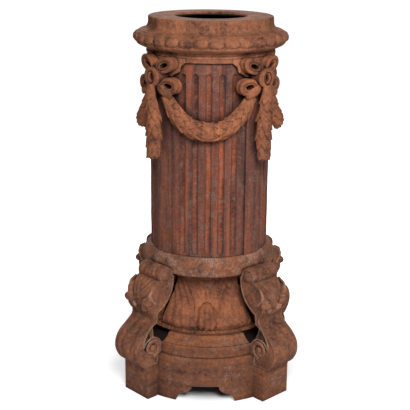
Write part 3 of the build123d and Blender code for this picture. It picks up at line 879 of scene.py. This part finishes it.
def swagCore(s):
    angles = np.linspace(-s["reach"], s["reach"], 241)
    share = np.abs(angles) / s["endAngle"]
    capped = np.minimum(share, 1)
    radius = s["radius"] + (s["endRadius"] - s["radius"]) * np.minimum(share, 1.1) ** 2
    height = s["low"] + (s["top"] - s["low"]) * share ** s["power"]
    line = polar(radius, np.radians(angles), height)
    spots = lengthAlong(line)
    spots -= spots[-1] / 2
    outward = polar(1.0, np.radians(angles), 0.0)
    sideways = unit(np.cross(outward, np.gradient(line, spots, axis=0)))
    depth = (s["depth"] + (s["endDepth"] - s["depth"]) * capped ** 2) / 2 * s["coreShare"]
    breadth = (s["width"] + (s["endWidth"] - s["width"]) * capped ** 2) / 2 * s["coreShare"]
    return dict(spots=spots, middle=line, out=outward, side=sideways, depth=depth, breadth=breadth)


def buildSwag(s):
    dice = np.random.default_rng(5)
    core = swagCore(s)
    keep = core["middle"][:, 2] < s["top"] - 1
    keys = ("middle", "out", "side", "depth", "breadth")
    parts = [tubePart(*[core[key][keep][::6] for key in keys])]
    topSpot = core["spots"][keep][-1]
    for way in (-1, 1):
        for tier in range(int(topSpot / s["pitch"]) + 1):
            foot = way * (topSpot - tier * s["pitch"] + (0 if tier else -2))
            reach = -way * s["length"] * dice.uniform(*s["lengthSpread"])
            if abs(foot) < s["length"] * 0.45:
                reach *= 0.6  # short leaves where both ways meet
            for turn in tierTurns(s, tier, dice):
                parts.append(leafOn(core, foot, reach, s["leafWidth"], turn, dice))
    middle, out, side, depth, breadth = coreAt(core, 0)
    depth, breadth = depth + s["berryProud"], breadth + s["berryProud"]
    for index in range(s["berries"]):
        turn = (index - s["berries"] // 2) * radians(s["berrySpacing"])
        berry = middle + cos(turn) * depth * out + sin(turn) * breadth * side
        parts.append(ballPart(berry, s["berryRadius"]))
    verts, faces = joined(parts)
    # nothing reaches into the shaft or over the ends
    span = np.hypot(verts[:, 0], verts[:, 1])
    inside = span < s["wallRadius"]
    verts[inside, :2] *= (s["wallRadius"] / span[inside])[:, None]
    verts[:, 2] = np.minimum(verts[:, 2], s["top"] - 0.3)
    return verts, faces


putRound("swag", buildSwag(swagLook), sides, "leaves")


# Bow and leaf drop, drawn along +X and turned to each corner
garlandLook = dict(
    foot=680, head=884, width=54, neckWidth=30, front=224, back=182, neckBack=206.5, bend=812, pitch=25,
    length=48, leafWidth=24, spacing=55, farthest=112, shortest=12, coreShare=0.66, bowBack=181.3,
    ribbonDepth=25, sway=0.06, lengthSpread=(0.92, 1.08),
    loops=[
        dict(offset=33, height=934, length=62, width=42, tilt=22, slot=0.44),
        dict(offset=46, height=880, length=57, width=45, tilt=-4, slot=0.44),
    ],
    knot=dict(height=902, length=52, width=56, slot=15 / 52 + 0.1, depth=38.13),
    tail=[(10, 884), (24, 872), (40, 862), (58, 856)],
    tailRadius=205, tailWave=2, tailRise=4.0, tailHalf=9, tailSwell=3.5, tailSteps=14,
)

# Cross-section of a ribbon loop: share of the loop's half size, and share of its depth
ribbonSection = [
    (0.0, 0.0), (0.0, 0.86), (0.04, 0.93), (0.16, 0.97), (0.19, 0.9), (0.26, 0.9), (0.29, 0.99),
    (0.88, 1.0), (0.95, 0.96), (0.99, 0.88), (0.99, 0.80), (0.94, 0.74), (0.93, 0.34), (0.98, 0.27),
    (0.99, 0.12), (0.98, 0.0),
]
slotCorners = 7  # the first ones are counted from the slot's edge


# Ribbon bent into a closed loop, with a dark slot in its middle and a rim along each edge
def ribbonRing(centre, across, out, loop, depth, tiltDegrees, inward=0.0, count=56):
    c, s = np.cos(ringAngles(count)), np.sin(ringAngles(count))
    tilt = radians(tiltDegrees)
    verts = []
    for index, (share, rise) in enumerate(ribbonSection):
        share += loop["slot"] if index < slotCorners else 0
        x = loop["length"] / 2 * (share * np.sign(c) * np.abs(c) ** 0.85 + inward * (1 - share))
        y = loop["width"] / 2 * share * (0.35 + 0.65 * share) * s
        sideways, upwards = x * cos(tilt) - y * sin(tilt), x * sin(tilt) + y * cos(tilt)
        verts.append(centre + np.outer(sideways, across) + np.outer(upwards, (0, 0, 1)) + out * depth * rise)
    faces = [(a, d, c, b) for a, b, c, d in gridFaces(len(ribbonSection), count, rowsClose=True)]
    return np.concatenate(verts), faces


def garlandCore(g):
    heights = np.linspace(g["foot"], g["head"], 60)
    share = (g["head"] - heights) / (g["head"] - g["foot"])
    width = g["neckWidth"] + (g["width"] - g["neckWidth"]) * np.sin(pi / 2 * np.minimum(share / 0.75, 1))
    taper = np.sqrt(1 - 0.72 * np.maximum(share - 0.82, 0) / 0.18)
    back = g["neckBack"] + (g["back"] - g["neckBack"]) * smooth(-heights, -g["bend"] - 45, -g["bend"] + 25)
    depth = (g["front"] - back) / 2 * g["coreShare"] * (0.6 + 0.4 * taper)
    return dict(
        spots=heights, middle=np.stack([g["front"] - 2.5 - depth, np.zeros(60), heights], axis=-1),
        out=np.tile((1.0, 0, 0), (60, 1)), side=np.tile((0, 1.0, 0), (60, 1)), depth=depth,
        breadth=width / 2 * g["coreShare"] * taper,
    )


# The ribbon's end, drawn out from under the knot to one side
def buildTail(g, way):
    run = resampled(g["tail"], g["tailSteps"])
    lean = np.arcsin(run[:, 0] / g["tailRadius"]) * way
    share = np.linspace(0, 1, g["tailSteps"])
    outs = polar(1.0, lean, 0.0)
    centres = polar(g["tailRadius"] + g["tailWave"] * np.sin(2 * pi * share), lean, run[:, 1])
    wide = unit(np.cross(np.gradient(centres, axis=0), outs))
    half = g["tailHalf"] + g["tailSwell"] * np.sin(pi * share)
    return tubePart(centres, outs, wide, np.full(g["tailSteps"], g["tailRise"]), half, 12)


def buildGarland(g):
    dice = np.random.default_rng(9)
    core = garlandCore(g)
    parts = [tubePart(*[core[key][::3] for key in ("middle", "out", "side", "depth", "breadth")])]
    for tier in range(int((g["head"] - g["foot"] - 22) / g["pitch"]) + 1):
        foot = g["head"] - tier * g["pitch"]
        for turn in tierTurns(g, tier, dice):
            reach = min(g["length"] * dice.uniform(*g["lengthSpread"]), foot - g["foot"] - 2)
            if reach >= g["shortest"]:
                parts.append(leafOn(core, foot, -reach, g["leafWidth"], turn, dice))
    for loop in g["loops"]:
        for way in (-1, 1):
            lean = asin(loop["offset"] / (g["bowBack"] + g["ribbonDepth"] / 2)) * way
            out, across = np.array([cos(lean), sin(lean), 0]), np.array([-sin(lean), cos(lean), 0])
            centre = out * g["bowBack"] + np.array([0, 0, loop["height"]])
            ring = ribbonRing(centre, across, out, loop, g["ribbonDepth"], loop["tilt"] * way, -0.2 * way)
            parts.append(ring)
    parts += [buildTail(g, way) for way in (-1, 1)]
    knot, out, across = g["knot"], np.array([1.0, 0, 0]), np.array([0, 1.0, 0])
    centre = np.array([g["bowBack"], 0, knot["height"]])
    parts.append(ribbonRing(centre, across, out, knot, knot["depth"], 90))
    return joined(parts)


putRound("garland", buildGarland(garlandLook), corners, "leaves")


# Heights and distances from the axis; ribs and folds are ridges as (rise, middle, spread)
consoleLook = dict(
    width=96, footHeight=97, drum=231.3, sunk=48, torus=242.3, torusTop=129.3, band=246.3, bandTop=103.3,
    drumTop=183, collarRadius=190.8, collarFoot=350, voluteRadius=60, voluteReach=318, voluteHeight=150,
    eyeRadius=33, waistReach=253, waistHeight=229, waistRadius=10, bulgeReach=271, bulgeHeight=290,
    scrollRadius=24, scrollReach=228, scrollHeight=354, armBackReach=192, armBackHeight=290,
    heelReach=241, heelHeight=222, bayRadius=45,
    ribs=[(2.4, 0, 8), (-2.8, 17, 6)], outerRib=(1.4, 28, 6), sideGroove=(3.4, 39, 2.4), veinDepth=1.6,
    folds=[(3.4, 6, 6), (-5.0, -7, 4.5), (-3.6, 17, 3.5)], foldSlope=0.55, edgeDepth=2.2,
    rimInset=3.4, fieldInset=0.8, fieldDepth=2.2,
    knobs=[
        ((258, 48, 150), (11, 6, 11)), ((207, 41, 351), (18, 15, 15)), ((268, 34, 285), (14, 22, 13)),
        ((258, 20, 268), (14, 9, 12)),
    ],
    foldLine=[(236, 338), (256, 327), (264, 308), (258, 292), (247, 281)], foldHalf=4.5, foldRise=3.4,
    rollInset=1.6, rollStart=-95, rollTurn=430, rollReach=(27, 10), rollHalf=(6.5, 5.0), rollRise=(4.6, 3.6),
)


# Points of the circle's arc from a through b to c
def arcThrough(a, b, c, count):
    a, b, c = (complex(*point) for point in (a, b, c))
    w = (c - a) / (b - a)
    centre = a - (a - b) * (w - abs(w) ** 2) / 2j / w.imag
    start, middle, end = (phase(point - centre) for point in (a, b, c))
    sweep = (end - start) % (2 * pi)
    if (middle - start) % (2 * pi) > sweep:
        sweep -= 2 * pi
    arc = centre + abs(a - centre) * np.exp(1j * (start + sweep * np.linspace(0, 1, count + 1)))
    return np.stack([arc.real, arc.imag], axis=-1)


# Side view of a console, with a mark on the points of its carved front
def consoleOutline(c):
    foot, volute, top = c["footHeight"], c["voluteHeight"], c["scrollHeight"]
    radius, eyeRadius, bend, curl = c["voluteRadius"], c["eyeRadius"], c["waistRadius"], c["scrollRadius"]
    eye, scroll, inner = c["voluteReach"] - radius, c["scrollReach"] - curl, c["drum"] - c["sunk"]
    footFront = (eye + sqrt(radius ** 2 - (volute - foot) ** 2), foot)
    shoulder = (eye + radius / 2, volute + radius * sqrt(3) / 2)
    waist = (c["waistReach"], c["waistHeight"])
    waistFoot = (waist[0] + bend, waist[1] - bend)
    waistHead = (waist[0] + bend / 2, waist[1] + 2 * bend)
    notch, back = (c["scrollReach"], top - curl / 2), (scroll - curl, top)
    armBack, heel = (c["armBackReach"], c["armBackHeight"]), (c["heelReach"], c["heelHeight"])
    bay = (eye + c["bayRadius"] / 2, volute + c["bayRadius"] * sqrt(3) / 2)
    eyeTip = (eye + 0.95 * eyeRadius, volute + eyeRadius * sqrt(1 - 0.95 ** 2))
    eyeTop, eyeBack = (eye, volute + eyeRadius), (eye - eyeRadius, volute)
    pieces = [
        (arcThrough(footFront, (c["voluteReach"], volute), shoulder, 30), 1),
        (resampled([shoulder, waistFoot], 5)[1:-1], 1),
        (arcThrough(waistFoot, waist, waistHead, 8), 1),
        (arcThrough(waistHead, (c["bulgeReach"], c["bulgeHeight"]), notch, 26)[1:], 1),
        (arcThrough(notch, (scroll, top + curl), back, 20)[1:], 1),
        (arcThrough(back, armBack, (heel[0] - 3, heel[1] + 28), 16)[1:], 0),
        (arcThrough(heel, bay, eyeTip, 16), 0),
        (arcThrough(eyeTip, eyeTop, eyeBack, 18)[1:], 0),
        (resampled([eyeBack, (inner, volute), (inner, foot)], 14)[1:], 0),
        (resampled([(inner, foot), footFront], 12)[1:-1], 0),
    ]
    line = np.concatenate([piece for piece, front in pieces])
    front = np.concatenate([np.full(len(piece), front) for piece, front in pieces])
    return line, front


# Carving on the front: a rib down the middle, hollows beside it, lobed leaf edges on the bulge
def consoleRelief(c, line, y):
    z, side = line[:, 1][:, None], np.abs(y)
    waist, top = c["waistHeight"], c["scrollHeight"]
    away = np.abs(y + 1.5 * np.sin(z / 11))
    ribs = ridges(away - 4 * np.sin((z - 110) / 30), c["ribs"]) + ridges(away, [c["outerRib"]])
    depth, middle, spread = c["sideGroove"]
    ribs = ribs - depth * bell(away, middle - 5 * np.sin(z / 17), spread)
    veins = -c["veinDepth"] * np.abs(np.sin((z * 0.7 + away) / 9)) ** 6 * fade(away, 8, 16, 28, 36)
    diagonal = away - c["foldSlope"] * (z - waist - 12)
    leaf = ridges(diagonal, c["folds"])
    leaf = leaf + 1.8 * np.cos(2 * pi * diagonal / 15) * smooth(-diagonal, 12, 18)
    leaf = leaf + 1.6 * np.cos(2 * pi * (diagonal + z * 0.2) / 13) * smooth(diagonal, 20, 26)
    edge = -c["edgeDepth"] * smooth(side, 42, 48)
    lobes = ridges(side, [(-4.5, 25 - 0.25 * (z - top), 4), (-1.8, 9, 2.5)]) - 3.0 * smooth(side, 38, 48)
    lower = fade(z, 100, 116, waist - 22, waist - 4) * (ribs + veins + edge)
    upper = fade(z, waist + 6, waist + 24, top - 22, top - 6) * (leaf + edge)
    return lower + upper + smooth(z, top - 16, top - 4) * lobes


# Cheeks: a flat rim along each side of the outline, then a sunk field
def consoleCheeks(c, flat, cols, normal, front, least):
    count = len(normal)
    rims, faces = [], []
    for j, way in ((0, -1), (cols - 1, 1)):
        loop = [i * cols + j for i in range(count)]
        rim = flat[loop].copy()
        rim[:, [0, 2]] -= normal * c["rimInset"] * np.where(front > 0, 1, 0.9)[:, None]
        rim[:, 0] = np.maximum(rim[:, 0], least[:, j] + 0.2)
        field = rim.copy()
        field[:, [0, 2]] -= normal * c["fieldInset"]
        field[:, 0] = np.maximum(field[:, 0], least[:, j] + 0.4)
        field[:, 1] -= way * c["fieldDepth"]
        base = len(flat) + sum(len(r) for r in rims)
        rims += [rim, field]
        for i in range(count):
            n = (i + 1) % count
            one = (loop[i], loop[n], base + n, base + i)
            two = (base + i, base + n, base + count + n, base + count + i)
            faces += [one, two] if way < 0 else [one[::-1], two[::-1]]
        cap = [base + count + i for i in range(count)]
        faces.append(tuple(cap if way < 0 else cap[::-1]))
    return rims, faces


def consoleBody(c):
    line, front = consoleOutline(c)
    tangent = unit(np.roll(line, -1, axis=0) - np.roll(line, 1, axis=0))
    normal = np.stack([tangent[:, 1], -tangent[:, 0]], axis=-1)
    y = np.linspace(-1, 1, 33)
    y = np.sign(y) * np.abs(y) ** 0.92 * c["width"] / 2
    push = consoleRelief(c, line, y[None, :]) * front[:, None]
    spread = line[:, None, :] + normal[:, None, :] * push[:, :, None]
    verts = np.stack([spread[..., 0], np.broadcast_to(y[None, :], push.shape), spread[..., 1]], axis=-1)
    verts[..., 2] = np.maximum(verts[..., 2], c["footHeight"] + 0.3)
    # the back follows whatever the console stands against at that height
    z = verts[..., 2]
    below = [z < c["bandTop"], z < c["torusTop"], z < c["drumTop"] + 0.5, z > c["collarFoot"]]
    against = np.select(below, [c["band"], c["torus"], c["drum"], c["collarRadius"]], 0)
    least = np.sqrt(np.maximum(against ** 2 - verts[..., 1] ** 2, 0))
    verts[..., 0] = np.maximum(verts[..., 0], least)
    flat = verts.reshape(-1, 3)
    rims, cheeks = consoleCheeks(c, flat, len(y), normal, front, least)
    faces = gridFaces(len(line), len(y), rowsClose=True, colsClose=False)
    return np.concatenate([flat] + rims), faces + cheeks


# A half-round roll along a line that lies on a flat face
def rollPart(centres, out, halfWidths, rises):
    tangents = np.gradient(centres, axis=0)
    tangents /= np.maximum(np.linalg.norm(tangents, axis=1), 1e-9)[:, None]
    across = np.cross(tangents, out)
    return tubePart(centres, [out] * len(centres), across, rises, halfWidths, 10)


def buildConsole(c):
    parts = [consoleBody(c)]
    eye = c["voluteReach"] - c["voluteRadius"]
    for way in (-1, 1):
        out, yFace = np.array([0, way, 0.0]), way * (c["width"] / 2 - c["rollInset"])
        phi = radians(c["rollStart"]) - np.linspace(0, 1, 64) * radians(c["rollTurn"])
        reach, half, rise = (np.linspace(*c[key], 64) for key in ("rollReach", "rollHalf", "rollRise"))
        x, z = eye + reach * np.cos(phi), c["voluteHeight"] + reach * np.sin(phi)
        x = np.maximum(x, sqrt(c["drum"] ** 2 - (c["width"] / 2) ** 2) + 6)
        volute = np.stack([x, np.full(64, yFace), z], axis=-1)
        parts.append(rollPart(volute, out, half, rise))
        parts += [eggPart((x, way * y, z), halves) for (x, y, z), halves in c["knobs"]]
        x, z = resampled(c["foldLine"], 30).T
        fold = np.stack([x, np.full(30, yFace), z], axis=-1)
        parts.append(rollPart(fold, out, np.full(30, c["foldHalf"]), np.full(30, c["foldRise"])))
    return joined(parts)


putRound("console", buildConsole(consoleLook), corners, "carved")


# The plinth's CAD node stays, with softened edges: width in millimetres, angle in degrees
plinthLook = dict(width=1.6, segments=3, angle=28)
plinth = nodes["plinth"]
plinth.data.materials.clear()
plinth.data.materials.append(materials["plinth"])
soften = plinth.modifiers.new("softened edges", "BEVEL")
soften.width = plinthLook["width"] * mm
soften.segments = plinthLook["segments"]
soften.limit_method = "ANGLE"
soften.angle_limit = radians(plinthLook["angle"])
soften.harden_normals = True
print("plinth softened")

# Pale floor that takes the shadow near the column and glows to white for the camera beyond it
floorLook = dict(reach=14, colour=(0.85, 0.85, 0.86), glowFoot=0.5, near=(0.2, 0.24), far=(0.3, 1.1))
floorMesh = bpy.data.meshes.new("floor")
reach = floorLook["reach"]
floorCorners = [(-reach, -reach, 0), (reach, -reach, 0), (reach, reach, 0), (-reach, reach, 0)]
floorMesh.from_pydata(floorCorners, [], [(0, 1, 2, 3)])
floor = bpy.data.objects.new("floor", floorMesh)
scene.collection.objects.link(floor)
paper, floorTree = newMaterial("floor")
floorOut = addNode(floorTree, "OutputMaterial")
diffuse = addNode(floorTree, "BsdfDiffuse")
feed(floorLook["colour"], diffuse.inputs["Color"])
glow = addNode(floorTree, "Emission")
floorSum = addNode(floorTree, "AddShader")
floorPath = addNode(floorTree, "LightPath")
floorSpot = addNode(floorTree, "NewGeometry")
distance = lengthOf(floorSpot.outputs["Position"])
glowRise = times(ramp(distance, *floorLook["far"]), 1 - floorLook["glowFoot"])
glowLevel = plus(glowRise, floorLook["glowFoot"])
glowLevel = times(glowLevel, ramp(distance, *floorLook["near"]))
glowLevel = times(glowLevel, floorPath.outputs["Is Camera Ray"])
feed(glowLevel, glow.inputs["Strength"])
feed(diffuse.outputs[0], floorSum.inputs[0])
feed(glow.outputs[0], floorSum.inputs[1])
feed(floorSum.outputs[0], floorOut.inputs["Surface"])
floorMesh.materials.append(paper)
print("floor laid")
